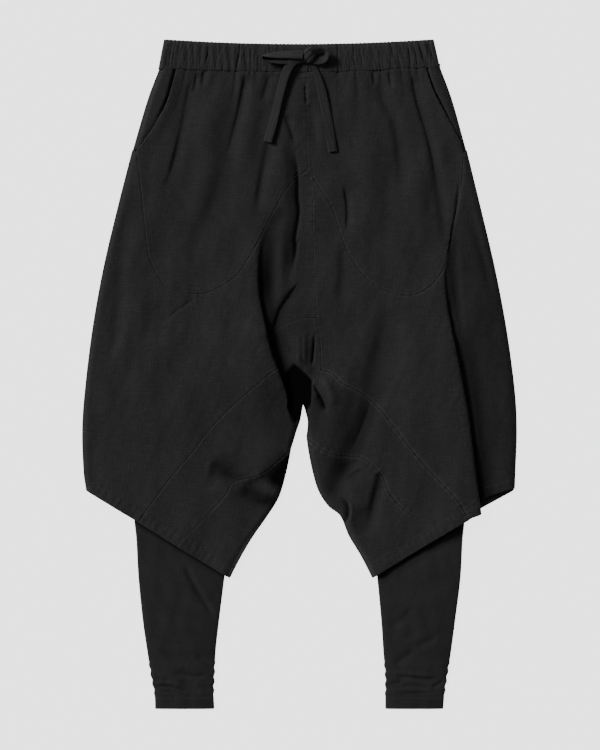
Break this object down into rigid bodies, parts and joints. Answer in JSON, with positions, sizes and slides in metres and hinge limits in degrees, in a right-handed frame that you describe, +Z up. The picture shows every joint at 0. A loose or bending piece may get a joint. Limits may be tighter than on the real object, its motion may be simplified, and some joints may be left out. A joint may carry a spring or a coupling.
{
  "type": "harem pants",
  "caption": "Black harem pants laid flat: wide woven shell with a dropped crotch, pocket yokes and slanted hems over close jersey leggings, gathered waistband, drawstring tied in a bow.",
  "frame": {"origin": "middle of the laid-out trousers, on the surface they lie on", "axes": "+Y towards the waistband, +X to the right as the laid-out trousers are seen from above, +Z up out of the front"},
  "size_m": [0.6515, 1.0007, 0.0218],
  "materials": {
    "woven_cloth": "matte plain weave",
    "jersey_cloth": "matte fine jersey",
    "drawstring_tape": "matte woven tape"
  },
  "bodies": {
    "root": {"waistband": "woven_cloth", "yoke_left": "woven_cloth", "yoke_right": "woven_cloth", "pocket_facing_left": "woven_cloth", "pocket_facing_right": "woven_cloth", "leg_left": "woven_cloth", "leg_right": "woven_cloth", "gusset_left": "woven_cloth", "gusset_right": "woven_cloth", "inner_leg_left": "woven_cloth", "inner_leg_right": "woven_cloth", "back_left": "woven_cloth", "back_right": "woven_cloth", "legging_left": "jersey_cloth", "legging_right": "jersey_cloth", "drawstring_knot": "drawstring_tape", "drawstring_loop_left": "drawstring_tape", "drawstring_loop_right": "drawstring_tape", "drawstring_tail_left": "drawstring_tape", "drawstring_tail_right": "drawstring_tape"}
  },
  "joints": []
}
